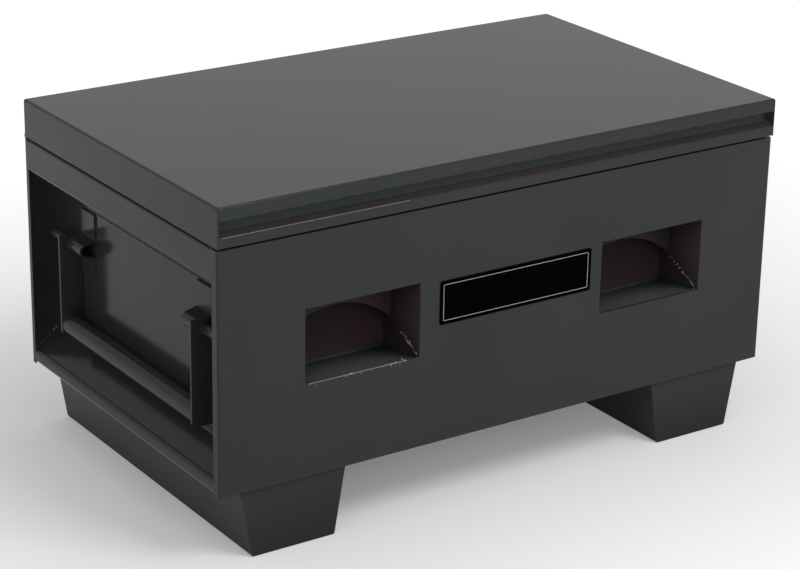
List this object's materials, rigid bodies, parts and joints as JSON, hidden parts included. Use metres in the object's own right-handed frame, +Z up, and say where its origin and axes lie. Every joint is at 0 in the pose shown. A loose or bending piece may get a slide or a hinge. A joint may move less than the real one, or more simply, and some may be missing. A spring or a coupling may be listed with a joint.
{
  "type": "jobsite storage box",
  "caption": "Steel jobsite storage box with a hinged lid, recessed padlock pockets in the front, swinging bail handles in the end recesses and closed skids underneath.",
  "frame": {"origin": "on the floor, under the middle of the box's overall bounding box", "axes": "+X to the right seen from the front, +Y to the rear, +Z up"},
  "size_m": [0.8132, 0.4922, 0.4419],
  "materials": {
    "powder_coat": "semi-gloss charcoal powder coat",
    "handle_coat": "semi-gloss charcoal powder coat",
    "zinc_steel": "zinc plated",
    "label": "satin black plate",
    "rubber": "matte"
  },
  "bodies": {
    "box": {"front_panel": "powder_coat", "rear_panel": "powder_coat", "bottom_panel": "powder_coat", "label_plate": "label", "rim_bumpers": "rubber", "hinge_leaf_box": "powder_coat", "hinge_pin": "zinc_steel", "stay_stud": "zinc_steel", "lock_box_left": "powder_coat", "lock_hood_left": "powder_coat", "lock_plate_left": "powder_coat", "lock_box_right": "powder_coat", "lock_hood_right": "powder_coat", "lock_plate_right": "powder_coat", "end_header_left": "powder_coat", "end_header_right": "powder_coat", "end_panel_left": "powder_coat", "end_panel_right": "powder_coat", "end_sill_left": "powder_coat", "end_sill_right": "powder_coat", "skid_left": "powder_coat", "skid_right": "powder_coat", "skid_cap_front_left": "powder_coat", "skid_cap_front_right": "powder_coat", "skid_cap_rear_left": "powder_coat", "skid_cap_rear_right": "powder_coat", "saddles_left": "powder_coat", "saddles_right": "powder_coat"},
    "lid": {"lid_shell": "powder_coat", "lid_front_channel": "powder_coat", "lid_stiffener_front": "powder_coat", "lid_stiffener_rear": "powder_coat", "hinge_leaf_lid": "powder_coat", "hasp_tongue_left": "powder_coat", "hasp_tongue_right": "powder_coat", "stay_bracket": "powder_coat", "stay_bolt": "zinc_steel"},
    "stay": {"stay_arm": "zinc_steel"},
    "handle_left": {"handle_arm_front_left": "handle_coat", "handle_arm_rear_left": "handle_coat", "handle_grip_left": "handle_coat", "handle_pins_left": "handle_coat"},
    "handle_right": {"handle_arm_front_right": "handle_coat", "handle_arm_rear_right": "handle_coat", "handle_grip_right": "handle_coat", "handle_pins_right": "handle_coat"}
  },
  "joints": [
    {"name": "lid_hinge", "type": "hinge", "parent": "box", "child": "lid", "pos_m": [0, 0.24288, 0.39145], "axis": [-1, 0, 0], "range_deg": [0, 100]},
    {"name": "stay_pivot", "type": "hinge", "parent": "lid", "child": "stay", "pos_m": [0.35, 0.09409, 0.41051], "axis": [-1, 0, 0], "range_deg": [-50, 0]},
    {"name": "handle_left_swing", "type": "hinge", "parent": "box", "child": "handle_left", "pos_m": [-0.3809, -0.00213, 0.269], "axis": [0, 1, 0], "range_deg": [0, 90]},
    {"name": "handle_right_swing", "type": "hinge", "parent": "box", "child": "handle_right", "pos_m": [0.3809, -0.00213, 0.269], "axis": [0, -1, 0], "range_deg": [0, 90]}
  ],
  "couplings": [
    {"joint": "stay_pivot", "follows": "lid_hinge", "ratio": -0.5}
  ]
}
